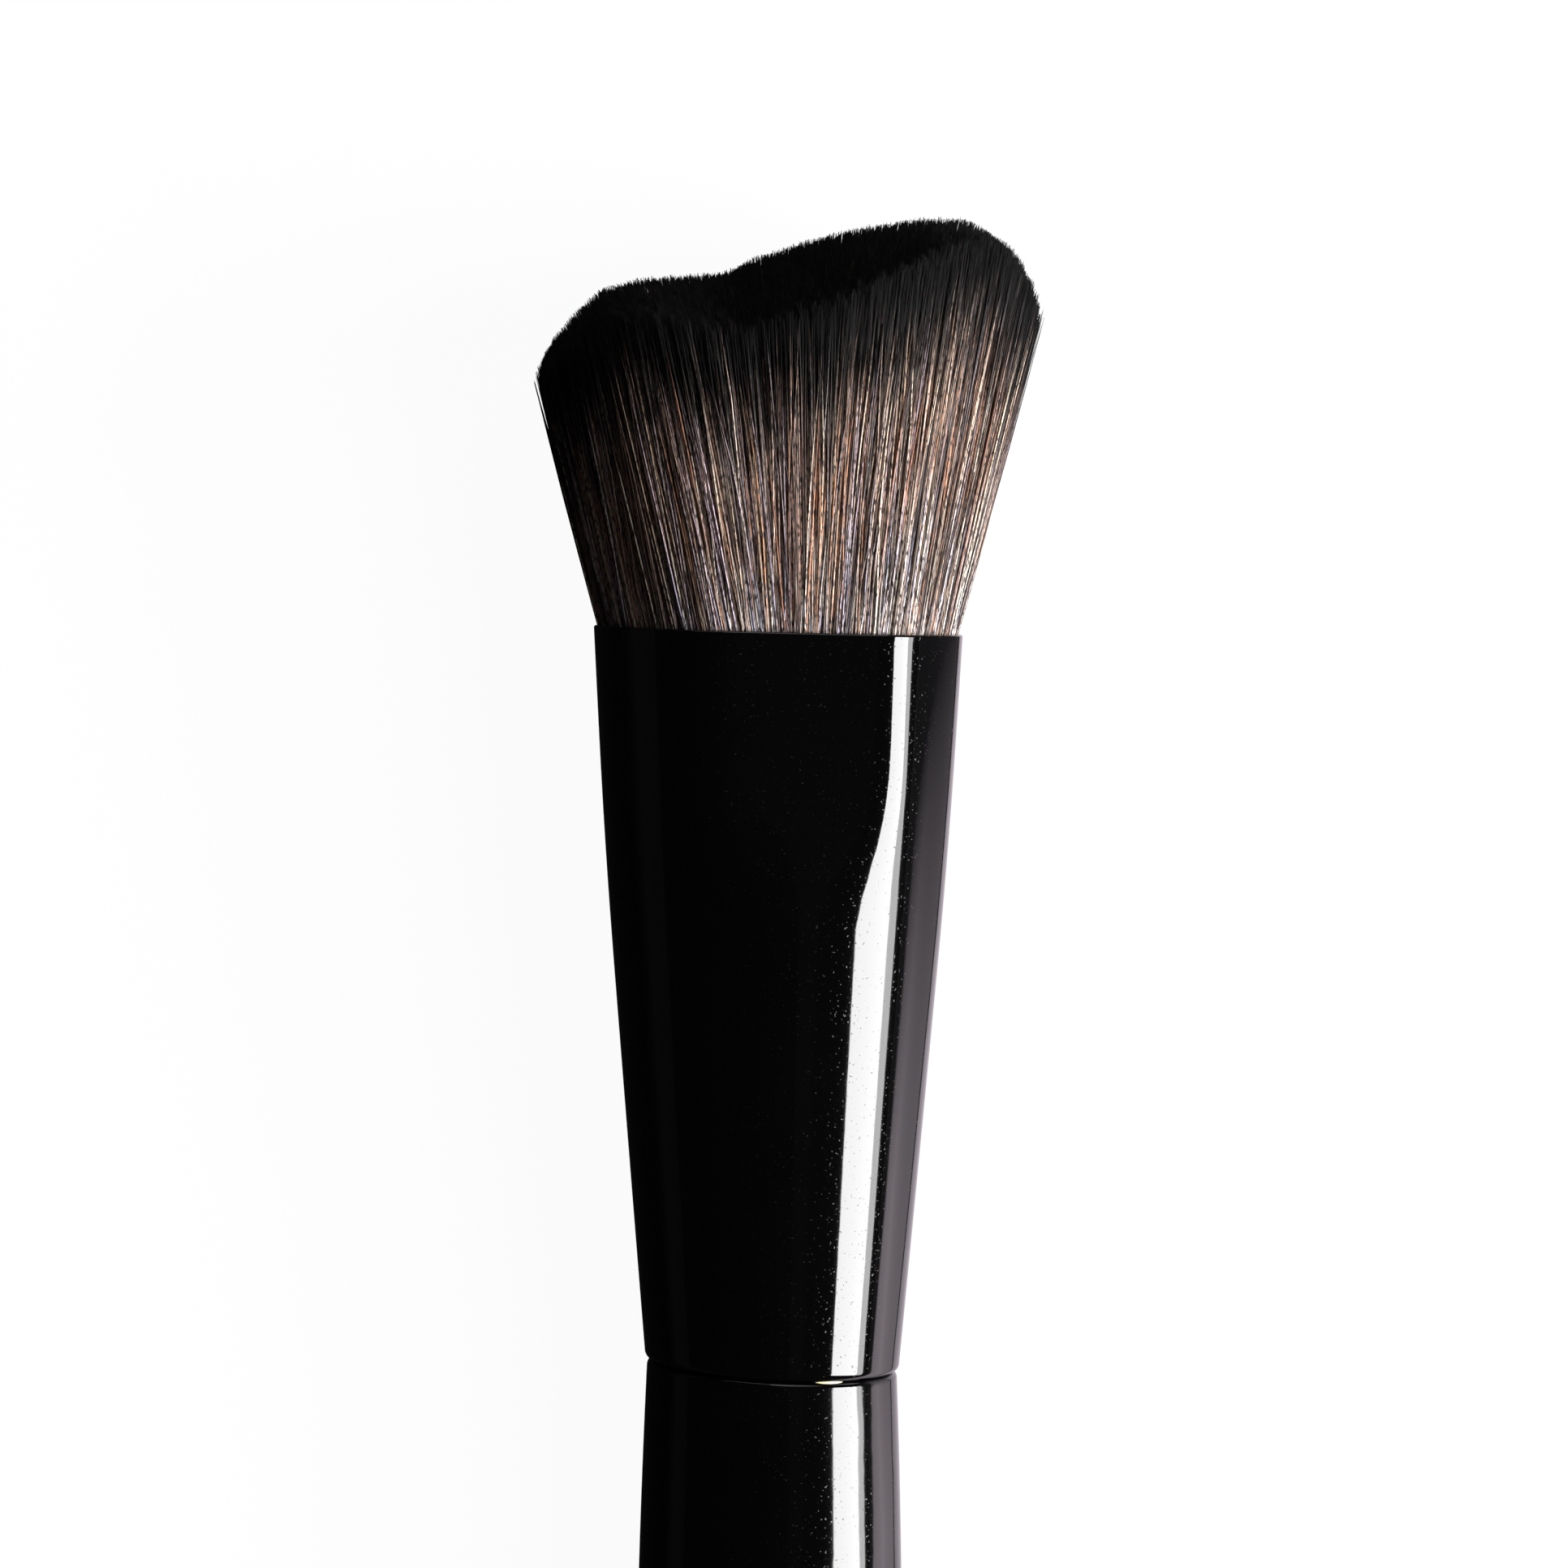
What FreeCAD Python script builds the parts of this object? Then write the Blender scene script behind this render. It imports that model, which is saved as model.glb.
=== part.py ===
import FreeCAD, Part
import math
import os
import Sketcher

# A shading brush for make-up: a dense head of mixed hair, a metal ferrule that is round at the
# handle and pressed flat on two sides at the hair, and a turned handle that is glued into it.
# Millimetres. Each piece is drawn upright, with height 0 at the joint between handle and ferrule,
# and the whole brush is then laid on its broad side, with the hair towards +Y.

SIZES = (
    ("handle_length", 105.0, "handle below the joint"),
    ("joint_dia", 14.7, "handle where the ferrule ends"),
    ("joint_round", 0.4, "rounding of the handle's shoulder"),
    ("belly_dia", 15.9, "thickest place of the handle"),
    ("belly_drop", 24.0, "from the joint down to that place"),
    ("tail_dia", 7.6, "ball that ends the handle"),
    ("tenon_dia", 12.8, "peg of the handle inside the ferrule"),
    ("tenon_length", 13.0, "height of that peg"),
    ("tenon_chamfer", 0.6, "lead at the top of the peg"),
    ("ferrule_length", 43.8, "ferrule from the joint to the rim"),
    ("ferrule_base_dia", 15.1, "ferrule above its rolled edge"),
    ("ferrule_roll", 0.5, "radius of the edge rolled in at the joint"),
    ("ferrule_wall", 0.5, "sheet that the ferrule is drawn from"),
    ("mouth_clearance", 0.1, "play of the peg in the ferrule's mouth, each side"),
    ("rim_dia", 21.76, "ferrule at the rim, across its round sides"),
    ("taper_bend", 12.8, "from the rim down to where the ferrule's taper grows steeper"),
    ("taper_bulge", 0.275, "how far the ferrule stands out there over a straight taper, each side"),
    ("press_in", 1.32, "how far each flat face is pressed in at the rim"),
    ("press_length", 9.0, "flat faces, from the rim down"),
    ("press_foot_in", 1.86, "how far in from the rim's radius they are at their lower end"),
    ("press_sweep", 15.0, "radius on which a flat face runs out into the taper"),
    ("press_round", 4.0, "rounding between a flat face and the round sides"),
    ("glue_start", 10.0, "lowest glue round the peg"),
    ("glue_top", 24.0, "top of the glue, where the hair's root begins"),
    ("hair_reach", 24.1, "longest hair, above the rim"),
    ("hair_spread_height", 18.5, "where the head is widest, above the rim"),
    ("hair_spread_width", 30.6, "head there, before its corners are shaped"),
    ("hair_spread_depth", 25.0, "head there, front to back"),
    ("hair_tip_depth", 22.4, "head at the tips, front to back"),
    ("lock_groove", 0.035, "depth of the grooves between locks of hair, as a share of the head"),
    ("hair_left", 14.5, "left side of the head, from the axis"),
    ("hair_right", 14.9, "right side of the head, from the axis"),
    ("left_corner_height", 14.4, "where the left side begins to round, above the rim"),
    ("left_corner_bow", 0.2, "swell of the left corner, as a share of its chord"),
    ("left_lobe_height", 20.5, "outer end of the left lobe's top, above the rim"),
    ("left_lobe_place", 8.6, "outer end of the left lobe's top, from the axis"),
    ("left_lobe_bow", 0.06, "swell of the left lobe's top, as a share of its chord"),
    ("dip_height", 20.7, "dip between the two lobes, above the rim"),
    ("dip_place", 3.3, "dip between the two lobes, left of the axis"),
    ("peak_place", 8.8, "highest hair, right of the axis"),
    ("peak_bow", 0.07, "swell of the right lobe's top, as a share of its chord"),
    ("right_corner_height", 19.2, "where the right side begins to round, above the rim"),
    ("right_corner_bow", 0.23, "swell of the right corner, as a share of its chord"),
    ("crown_drop", 4.2, "tips in front and behind, below those in the middle"),
    ("parting_dia", 8.0, "across the round that hollows the parting in front, at the tips"),
    ("parting_depth", 1.3, "depth of the parting at the tips"),
    ("parting_length", 15.0, "length of the parting below the dip"),
    ("parting_lean", 4.2, "degrees by which the parting leans in towards the tips"),
    ("hair_give", 0.5, "how far the hair is pressed flat where the brush lies on it"),
)
ABOVE = 5.0  # how far a cutting form reaches past what it cuts
RUN_OUT = math.radians(60)  # turn of the sweep that ends a flat face, which takes it clear of the taper
TAPER_RUNS = 7  # straight runs that follow the handle's long taper
BELLY_RUNS = 3  # straight runs that follow its swell below the joint
LOCKS = 24  # locks of hair round the head
CORNER_RUNS = 3  # straight runs that follow a corner of the head's outline
LEFT_LOBE_RUNS = 2  # and the top of its left lobe
RIGHT_LOBE_RUNS = 4  # and the top of its right lobe
CROWN_STATIONS = (-1.0, -0.55, 0.0, 0.55, 1.0)  # outlines from front to back, as shares of half the depth
SIDEWAYS = 0.5  # a face with a smaller rise of its normal than this stands on its edge
FINE = 0.02  # how closely the points that feel for the floor follow the pieces
STEEPEST = math.radians(20)  # more than the brush can tilt as it lies
HALVINGS = 40  # halvings of that angle until both ends touch the floor

doc = FreeCAD.newDocument("ShadingBrush")
sheet = doc.addObject("Spreadsheet::Sheet", "Sizes")
for row, (alias, number, note) in enumerate(SIZES, start=1):
    sheet.set("A%d" % row, note)
    sheet.set("B%d" % row, str(number))
    sheet.setAlias("B%d" % row, alias)
doc.recompute()


class Term:
    """A length read or worked out from the sheet: its value now, and the expression behind it."""

    def __init__(self, value, text):
        self.value = value
        self.text = text

    def mixed(self, other, sign, other_first=False):
        other = other if isinstance(other, Term) else Term(float(other), "%.9g" % other)
        first, second = (other, self) if other_first else (self, other)
        if sign == "+":
            worked = first.value + second.value
        elif sign == "-":
            worked = first.value - second.value
        elif sign == "*":
            worked = first.value * second.value
        else:
            worked = first.value / second.value
        return Term(worked, "(%s %s %s)" % (first.text, sign, second.text))

    def __add__(self, other):
        return self.mixed(other, "+")

    def __sub__(self, other):
        return self.mixed(other, "-")

    def __rsub__(self, other):
        return self.mixed(other, "-", other_first=True)

    def __mul__(self, other):
        return self.mixed(other, "*")

    def __truediv__(self, other):
        return self.mixed(other, "/")

    def __neg__(self):
        return self.mixed(-1.0, "*")


def size(alias):
    """The named size, bound to its cell."""
    return Term(float(sheet.get(alias)), "Sizes." + alias)


ZERO = Term(0.0, "0")
ONE = Term(1.0, "1")


def bowed(start, stop, bow, runs):
    """Corners from one point up to another, along a curve that bows out to the left of its chord."""
    across, up = stop[0] - start[0], stop[1] - start[1]
    corners = []
    for step in range(runs):
        share = step / runs
        swell = bow * (4 * share * (1 - share))
        corners.append((start[0] + across * share - up * swell, start[1] + up * share + across * swell))
    return corners


class Outline:
    """A sketch on one of its body's planes, whose corners and arcs are bound to the sheet."""

    def __init__(self, owner, name, role, shift=None):
        self.sketch = owner.newObject("Sketcher::SketchObject", name)
        plane = [item for item in owner.Origin.OriginFeatures if item.Role == role][0]
        self.sketch.AttachmentSupport = (plane, "")
        self.sketch.MapMode = "FlatFace"
        if shift is not None:
            self.sketch.setExpression("AttachmentOffset.Base.z", shift.text)

    def bind(self, kind, *parts):
        """One constraint; a Term at its end becomes the expression behind its size."""
        last = parts[-1]
        if isinstance(last, Term):
            at = self.sketch.addConstraint(Sketcher.Constraint(kind, *parts[:-1], last.value))
            self.sketch.setExpression("Constraints[%d]" % at, last.text)
        else:
            self.sketch.addConstraint(Sketcher.Constraint(kind, *parts))

    def hold(self, edge, end, across, up):
        """Hold one end of an edge at its place from the sketch's origin."""
        for kind, axis, term in (("DistanceX", -2, across), ("DistanceY", -1, up)):
            if term is ZERO:
                self.bind("PointOnObject", edge, end, axis)
            else:
                self.bind(kind, edge, end, term)

    def arc(self, start, stop, radius):
        """The shorter arc between two points; a positive radius turns left on the way."""
        chord = stop - start
        side = FreeCAD.Vector(-chord.y, chord.x, 0).normalize() * math.copysign(1.0, radius)
        middle = (start + stop) / 2 + side * math.sqrt(radius ** 2 - (chord.Length / 2) ** 2)
        angles = [math.atan2(point.y - middle.y, point.x - middle.x) for point in (start, stop)]
        if radius < 0:
            angles.reverse()
        circle = Part.Circle(middle, FreeCAD.Vector(0, 0, 1), abs(radius))
        return self.sketch.addGeometry(Part.ArcOfCircle(circle, *angles), False)

    def run(self, corners):
        """A closed run. A corner is (across, up), with a radius where an arc leads on from it."""
        points = [FreeCAD.Vector(corner[0].value, corner[1].value, 0) for corner in corners]
        edges = []
        for index, corner in enumerate(corners):
            start = points[index]
            stop = points[(index + 1) % len(points)]
            if len(corner) == 2:
                edges.append((self.sketch.addGeometry(Part.LineSegment(start, stop), False), 1, 2))
            elif corner[2].value > 0:
                edges.append((self.arc(start, stop, corner[2].value), 1, 2))
            else:
                edges.append((self.arc(start, stop, corner[2].value), 2, 1))
        for index, (edge, first, last) in enumerate(edges):
            following, follow_end, _ = edges[(index + 1) % len(edges)]
            self.bind("Coincident", edge, last, following, follow_end)
            self.hold(edge, first, corners[index][0], corners[index][1])
            if len(corners[index]) == 3:
                radius = corners[index][2]
                self.bind("Radius", edge, radius if radius.value > 0 else -radius)
        return self.sketch

    def locks(self, width, depth):
        """A ring of locks about the origin: an ellipse whose edge goes in between each two locks."""
        corners = []
        for index in range(LOCKS * 2):
            angle = math.pi * (index + 0.5) / LOCKS
            reach = ONE - size("lock_groove") if index % 2 else ONE
            corners.append((width * reach * (math.cos(angle) / 2), depth * reach * (math.sin(angle) / 2)))
        return self.run(corners)


def body(name):
    return doc.addObject("PartDesign::Body", name)


def turn(owner, outline):
    """Turn a profile all the way round the brush's axis."""
    feature = owner.newObject("PartDesign::Revolution", owner.Name + "Turned")
    feature.Profile = outline
    feature.ReferenceAxis = (outline, ["V_Axis"])
    feature.Angle = 360.0


def loft(owner, sections, ruled):
    """Join the sections of a body into one solid."""
    feature = owner.newObject("PartDesign::AdditiveLoft", owner.Name + "Loft")
    feature.Profile = sections[0]
    feature.Sections = sections[1:]
    feature.Ruled = ruled


def combine(kind, name, base, tool):
    """A boolean of two pieces: Cut, Common or Fuse."""
    result = doc.addObject("Part::" + kind, name)
    result.Base = base
    result.Tool = tool
    return result


def slab(name, low, high):
    """A level slice across the whole ferrule, to take one length of its inside."""
    half = size("rim_dia")
    box = doc.addObject("Part::Box", name)
    box.setExpression("Length", (half * 2).text)
    box.setExpression("Width", (half * 2).text)
    box.setExpression("Height", (high - low).text)
    box.setExpression("Placement.Base.x", (-half).text)
    box.setExpression("Placement.Base.y", (-half).text)
    box.setExpression("Placement.Base.z", low.text)
    return box


def make_handle(name):
    """The turned handle: peg, shoulder, belly and a long taper that ends in a ball."""
    joint, belly, ball = size("joint_dia") / 2, size("belly_dia") / 2, size("tail_dia") / 2
    peg, lead, top = size("tenon_dia") / 2, size("tenon_chamfer"), size("tenon_length")
    ease, drop = size("joint_round"), size("belly_drop")
    # The swell and the taper are both upright at the belly, and the taper runs on into the ball.
    swell, fall = belly - joint, drop - ease
    thin, down = belly - ball, size("handle_length") - ball - drop
    lean = thin / down
    end = (
        ball * (ONE - lean * lean) / (ONE + lean * lean),
        -(drop + down + ball * lean * 2 / (ONE + lean * lean)),
    )
    corners = [(ZERO, top), (peg - lead, top), (peg, top - lead), (peg, ZERO), (joint - ease, ZERO)]
    for step in range(BELLY_RUNS, 0, -1):
        share = step / BELLY_RUNS
        corners.append((belly - swell * share ** 2, fall * share - drop))
    for step in range(TAPER_RUNS):
        share = step / TAPER_RUNS
        corners.append((belly - (belly - end[0]) * share ** 2, (end[1] + drop) * share - drop))
    corners += [end + (-ball,), (ZERO, -size("handle_length"))]
    owner = body(name)
    turn(owner, Outline(owner, name + "Profile", "XZ_Plane").run(corners))
    return owner


def make_ferrule_form(name, inset, foot, above):
    """The ferrule's form, set in by one distance: a round taper with two pressed faces."""
    base, rim = size("ferrule_base_dia") / 2, size("rim_dia") / 2
    length, roll = size("ferrule_length"), size("ferrule_roll")
    bend = length - size("taper_bend")
    cone = base + (rim - base) * (bend - roll) / (length - roll) + size("taper_bulge")
    owner = body(name)
    profile = Outline(owner, name + "Profile", "XZ_Plane").run(
        foot + (
            (cone - inset, bend),
            (rim + (rim - cone) * above / (length - bend) - inset, length + above),
            (ZERO, length + above),
        )
    )
    turn(owner, profile)
    face, low_face = rim - size("press_in") - inset, rim - size("press_foot_in") - inset
    over = ABOVE * 2
    top, top_face = length + over, face + (face - low_face) * over / size("press_length")
    low, arc = length - size("press_length"), size("press_sweep") + inset
    outside, run_out = low_face + arc * (1 - math.cos(RUN_OUT)), low - arc * math.sin(RUN_OUT)
    press = Outline(owner, name + "Press", "YZ_Plane")
    for side in (1.0, -1.0):
        press.run((
            (outside * side, top),
            (top_face * side, top),
            (low_face * side, low, arc * side),
            (outside * side, run_out),
        ))
    pocket = owner.newObject("PartDesign::Pocket", name + "Pressed")
    pocket.Profile = press.sketch
    pocket.Type = "ThroughAll"
    pocket.Midplane = True
    doc.recompute()
    # The soft edge between each pressed face and the round sides.
    soft = owner.newObject("PartDesign::Fillet", name + "Softened")
    soft.Base = (pocket, press_edges(pocket.Shape))
    soft.setExpression("Radius", (size("press_round") - inset).text)
    return owner


def press_edges(shape):
    """Names of the edges between a pressed face and the round sides."""
    names = []
    for index, edge in enumerate(shape.Edges, start=1):
        kinds = set()
        for face in shape.ancestorsOfType(edge, Part.Face):
            if face.Surface.TypeId in ("Part::GeomCone", "Part::GeomSurfaceOfRevolution"):
                kinds.add("round")
            elif abs(face.normalAt(0, 0).z) < SIDEWAYS:
                kinds.add("pressed")
        if len(kinds) == 2:
            names.append("Edge%d" % index)
    return names


def make_ferrule():
    """The ferrule's thin shell, open at both ends, and the form of its inside."""
    base, rim = size("ferrule_base_dia") / 2, size("rim_dia") / 2
    roll, wall, length = size("ferrule_roll"), size("ferrule_wall"), size("ferrule_length")
    mouth = size("tenon_dia") / 2 + size("mouth_clearance")
    outside = make_ferrule_form(
        "FerruleOutside", ZERO,
        ((ZERO, ZERO), (base - roll, ZERO), (base - roll / 4, roll / 4), (base, roll)),
        ZERO,
    )
    inside = make_ferrule_form(
        "FerruleInside", wall,
        ((ZERO, -wall), (mouth, -wall), (mouth, wall), (base - wall, wall)),
        ONE * ABOVE,
    )
    return combine("Cut", "FerruleShell", outside, inside), inside


def make_glue(inside):
    """The adhesive: a plug under the hair's root, which also grips the peg from all round."""
    level = slab("GlueSlab", size("glue_start"), size("glue_top"))
    filled = combine("Common", "GlueFilled", inside, level)
    return combine("Cut", "GluePlug", filled, make_handle("PegForm"))


def make_hair_flare():
    """The head's flare: locks of hair from the rim out to the widest place and in again."""
    rim, wall = size("ferrule_length"), size("ferrule_wall")
    wide = size("hair_spread_width")
    owner = body("HairFlare")
    sections = (
        (rim, size("rim_dia") - wall * 2, size("rim_dia") - size("press_in") * 2 - wall * 2),
        (rim + size("hair_spread_height"), wide, size("hair_spread_depth")),
        (rim + size("hair_reach") + ABOVE, wide, size("hair_tip_depth")),
    )
    loft(owner, [
        Outline(owner, "HairRing%d" % index, "XY_Plane", level).locks(width, depth)
        for index, (level, width, depth) in enumerate(sections)
    ], True)
    return owner


def make_hair_crown():
    """The head seen from the front: a low left lobe, a dip and a high right lobe, domed in depth."""
    rim, left, right = size("ferrule_length"), size("hair_left"), size("hair_right")
    half = size("hair_spread_depth") / 2
    owner = body("HairCrown")
    sections = []
    for index, share in enumerate(CROWN_STATIONS):
        level = rim - size("crown_drop") * share ** 2
        low_right = (right, level + size("right_corner_height"))
        peak = (size("peak_place"), level + size("hair_reach"))
        dip = (-size("dip_place"), level + size("dip_height"))
        lobe = (-size("left_lobe_place"), level + size("left_lobe_height"))
        low_left = (-left, level + size("left_corner_height"))
        corners = [(right, rim - ABOVE)]
        corners += bowed(low_right, peak, -size("right_corner_bow"), CORNER_RUNS)
        corners += bowed(peak, dip, -size("peak_bow"), RIGHT_LOBE_RUNS)
        corners += bowed(dip, lobe, -size("left_lobe_bow"), LEFT_LOBE_RUNS)
        corners += bowed(lobe, low_left, -size("left_corner_bow"), CORNER_RUNS)
        corners += [low_left, (-left, rim - ABOVE)]
        sections.append(Outline(owner, "HairWave%d" % index, "XZ_Plane", half * share).run(corners))
    loft(owner, sections, True)
    return owner


def front_depth(height):
    """How far the head's flare stands in front of the axis, at a height above the rim."""
    rim_half = (size("rim_dia") / 2 - size("press_in") - size("ferrule_wall")).value
    spread_half = size("hair_spread_depth").value / 2
    return rim_half + (spread_half - rim_half) * height / size("hair_spread_height").value


def make_parting():
    """The parting in the front of the head: a cone laid along the flare, open at the dip."""
    wide, length = size("parting_dia").value / 2, size("parting_length").value
    dip, top = size("dip_place").value, size("dip_height").value
    lean = length * math.tan(math.radians(size("parting_lean").value))
    rim = size("ferrule_length").value
    low = FreeCAD.Vector(-dip - lean, -front_depth(top - length), rim + top - length)
    high = FreeCAD.Vector(-dip, size("parting_depth").value - wide - front_depth(top), rim + top)
    run = high - low
    past = (run.Length + ABOVE) / run.Length
    parting = doc.addObject("Part::Feature", "HairParting")
    parting.Shape = Part.makeCone(0, wide * past, run.Length * past, low, run)
    return parting


def make_hair(inside):
    """The bundle of hair: its root in the ferrule and the head that spreads above the rim."""
    root = combine("Common", "HairRoot", inside, slab("HairSlab", size("glue_top"), size("ferrule_length")))
    head = combine("Common", "HairHead", make_hair_flare(), make_hair_crown())
    parted = combine("Cut", "HairParted", head, make_parting())
    return combine("Fuse", "HairBundle", root, parted)


def lowest(points, tilt):
    """How far a piece reaches down once the brush lies on its side with the hair end raised."""
    sine, cosine = math.sin(tilt), math.cos(tilt)
    return min(point.z * sine - abs(point.y) * cosine for point in points)


def press_flat(hair, placement):
    """Take away the hair that would lie under the floor, where the brush's weight presses it flat."""
    floor = doc.addObject("Part::Box", "Floor")
    floor.setExpression("Length", size("hair_spread_width").text)
    floor.setExpression("Width", size("handle_length").text)
    floor.Height = ABOVE
    start = FreeCAD.Vector(-size("hair_spread_width").value / 2, 0, -ABOVE)
    floor.Placement = placement.inverse() * FreeCAD.Placement(start, FreeCAD.Rotation())
    return combine("Cut", "HairLaid", hair, floor)


def lay_down(pieces):
    """Lay the brush on the floor, where it touches with its handle and with its head."""
    clouds = {name: thing.Shape.tessellate(FINE)[0] for name, thing in pieces.items()}
    give = size("hair_give").value
    low, high = 0.0, STEEPEST
    for _ in range(HALVINGS):
        tilt = (low + high) / 2
        if lowest(clouds["handle"], tilt) < lowest(clouds["hair_head"], tilt) + give:
            high = tilt
        else:
            low = tilt
    level = -lowest(clouds["handle"], tilt)
    roll = FreeCAD.Rotation(FreeCAD.Vector(1, 0, 0), math.degrees(tilt) - 90)
    laid = [roll.multVec(point) for cloud in clouds.values() for point in cloud]
    middle = (min(point.y for point in laid) + max(point.y for point in laid)) / 2
    across = (min(point.x for point in laid) + max(point.x for point in laid)) / 2
    placement = FreeCAD.Placement(FreeCAD.Vector(-across, -middle, level), roll)
    pieces["hair_head"] = press_flat(pieces["hair_head"], placement)
    for thing in pieces.values():
        thing.Placement = placement
    print("tilt %.3f degrees, axis %.3f mm above the floor at the joint" % (math.degrees(tilt), level))


def check(pieces):
    """Stop if any feature failed, or any piece isn't one sound solid."""
    failed = [thing.Name for thing in doc.Objects if {"Invalid", "Error"} & set(thing.State)]
    for name, thing in pieces.items():
        shape = thing.Shape
        if shape.isNull() or not shape.isValid() or len(shape.Solids) != 1:
            failed.append(name)
    if failed:
        raise RuntimeError("failed: " + ", ".join(failed))


ferrule, inside = make_ferrule()
pieces = {
    "handle": make_handle("TurnedHandle"),
    "ferrule": ferrule,
    "glue_plug": make_glue(inside),
    "hair_head": make_hair(inside),
}
doc.recompute()
check(pieces)
lay_down(pieces)
for name, thing in pieces.items():
    thing.Label = name
doc.recompute()
check(pieces)
os.makedirs("parts", exist_ok=True)
for name, thing in pieces.items():
    thing.Shape.exportStep(os.path.join("parts", name + ".step"))
    box = thing.Shape.BoundBox
    print("%-10s %8.1f mm3  %s" % (name, thing.Shape.Volume, box))
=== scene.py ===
# %% [markdown]
# # A shading brush, dressed
#
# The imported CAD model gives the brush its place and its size. This file gives it its looks: a head
# of single hairs, a black gloss ferrule with a rolled edge, and a lacquered handle. The brush lies
# on the floor, and the camera looks down on it. The CAD model comes first, because every later
# step measures from it.

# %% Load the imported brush
import math

import bpy
import numpy as np
from mathutils import Matrix, Vector


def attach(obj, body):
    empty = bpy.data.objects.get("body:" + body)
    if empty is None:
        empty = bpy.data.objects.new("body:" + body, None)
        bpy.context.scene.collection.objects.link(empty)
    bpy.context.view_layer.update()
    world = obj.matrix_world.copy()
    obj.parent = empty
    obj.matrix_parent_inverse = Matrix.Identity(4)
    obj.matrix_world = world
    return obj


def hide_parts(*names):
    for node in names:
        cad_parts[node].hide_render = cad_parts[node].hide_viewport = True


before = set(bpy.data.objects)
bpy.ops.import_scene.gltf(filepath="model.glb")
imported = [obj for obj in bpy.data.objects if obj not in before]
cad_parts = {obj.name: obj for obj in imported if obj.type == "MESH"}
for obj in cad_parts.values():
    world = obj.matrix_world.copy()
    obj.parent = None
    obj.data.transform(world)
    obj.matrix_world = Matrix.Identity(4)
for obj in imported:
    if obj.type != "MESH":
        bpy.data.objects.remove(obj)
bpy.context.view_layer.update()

# %% [markdown]
# ## Sizes
#
# The pieces are drawn upright in millimetres, with height 0 at the joint between handle and
# ferrule, just as in the CAD source. `laid` then puts them where the CAD model lies: on the floor,
# the hair towards +Y and its front up, with the axis raised a little towards the hair. Objects
# could be turned instead, but with moved points every number stays a size of the upright brush.

# %% Sizes in millimetres, and the way the brush lies
MM = 0.001
TILT = math.radians(2.295)
JOINT = np.array((-0.293, 18.536, 9.469))

RIM = 43.8
RIM_RADIUS = 10.88
BASE_RADIUS = 7.55
BEND = (31.0, 10.17)
BEND_EASE = 7.0
WALL = 0.5
ROLL = 0.5
PRESS_IN, PRESS_FOOT_IN = 1.32, 1.86
PRESS_LENGTH = 9.0
PRESS_SWEEP = 17.0
PRESS_ROUND = 4.0

JOINT_RADIUS = 7.42
BELLY_RADIUS, BELLY_DROP = 7.93, 24.0
TAIL_RADIUS, TAIL_DROP = 3.8, 101.2
PEG_RADIUS, PEG_TOP = 6.4, 13.0

SPREAD = 18.5
SPREAD_WIDE, SPREAD_DEEP = 15.25, 12.45
TIP_RISE, TIP_DEEP = 10.0, 11.2
ROOT = 24.0

TURN = np.array((
    (1.0, 0.0, 0.0),
    (0.0, math.sin(TILT), math.cos(TILT)),
    (0.0, -math.cos(TILT), math.sin(TILT)),
))


def laid(points):
    """Upright points in millimetres, moved to where the brush lies, in metres."""
    return (np.asarray(points, dtype=float) @ TURN.T + JOINT) * MM


tail, rim_centre = laid((0, 0, -TAIL_DROP)), laid((0, 0, RIM))
print("ball of the handle at", tail.round(4), "and middle of the rim at", rim_centre.round(4))

# %% [markdown]
# ## Meshes
#
# A few helpers are enough. `quad_mesh` takes points and four-sided faces, which is the quick way to
# make tens of thousands of hairs. `skin` takes rings of points and closes them into a tube, which
# is the way to make everything that is turned or drawn. `askew` gives such rings the slope that the
# joint and the rim have in the photograph.

# %% Mesh helpers
JOINT_SLOPE, RIM_SLOPE = 0.046, 0.018
SEAT_LIFT, SEAT_FADE = 0.3, 8.0


def quad_mesh(name, points, quads):
    """A smooth-shaded object from points in metres and rows of four corners."""
    points, quads = np.asarray(points, dtype=float), np.asarray(quads, dtype=int)
    mesh = bpy.data.meshes.new(name)
    mesh.vertices.add(len(points))
    mesh.vertices.foreach_set("co", points.ravel())
    mesh.loops.add(quads.size)
    mesh.loops.foreach_set("vertex_index", quads.ravel())
    mesh.polygons.add(len(quads))
    mesh.polygons.foreach_set("loop_start", np.arange(0, quads.size, 4))
    mesh.update(calc_edges=True)
    mesh.validate()
    mesh.shade_smooth()
    piece = bpy.data.objects.new(name, mesh)
    bpy.context.scene.collection.objects.link(piece)
    return piece


def skin(name, rings, crease=40.0):
    """A tube through rings of points, whose creases stay sharp above an angle in degrees."""
    rows, columns = rings.shape[:2]
    index = np.arange(rows * columns).reshape(rows, columns)
    turned = np.roll(index, -1, axis=1)
    quads = np.stack((index[:-1], turned[:-1], turned[1:], index[1:]), axis=-1).reshape(-1, 4)
    piece = quad_mesh(name, laid(rings.reshape(-1, 3)), quads)
    piece.data.set_sharp_from_angle(angle=math.radians(crease))
    return piece


def askew(rings):
    """Rings that sink a little towards the right: most at the joint, less at the rim."""
    height = rings[..., 2]
    above = JOINT_SLOPE - (JOINT_SLOPE - RIM_SLOPE) * height / RIM
    below = JOINT_SLOPE * np.exp(height / SEAT_FADE)
    lift = SEAT_LIFT * np.exp(-np.abs(height) / SEAT_FADE)
    moved = height + lift - np.where(height > 0, above, below) * rings[..., 0]
    return np.concatenate((rings[..., :2], moved[..., None]), axis=-1)


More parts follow.
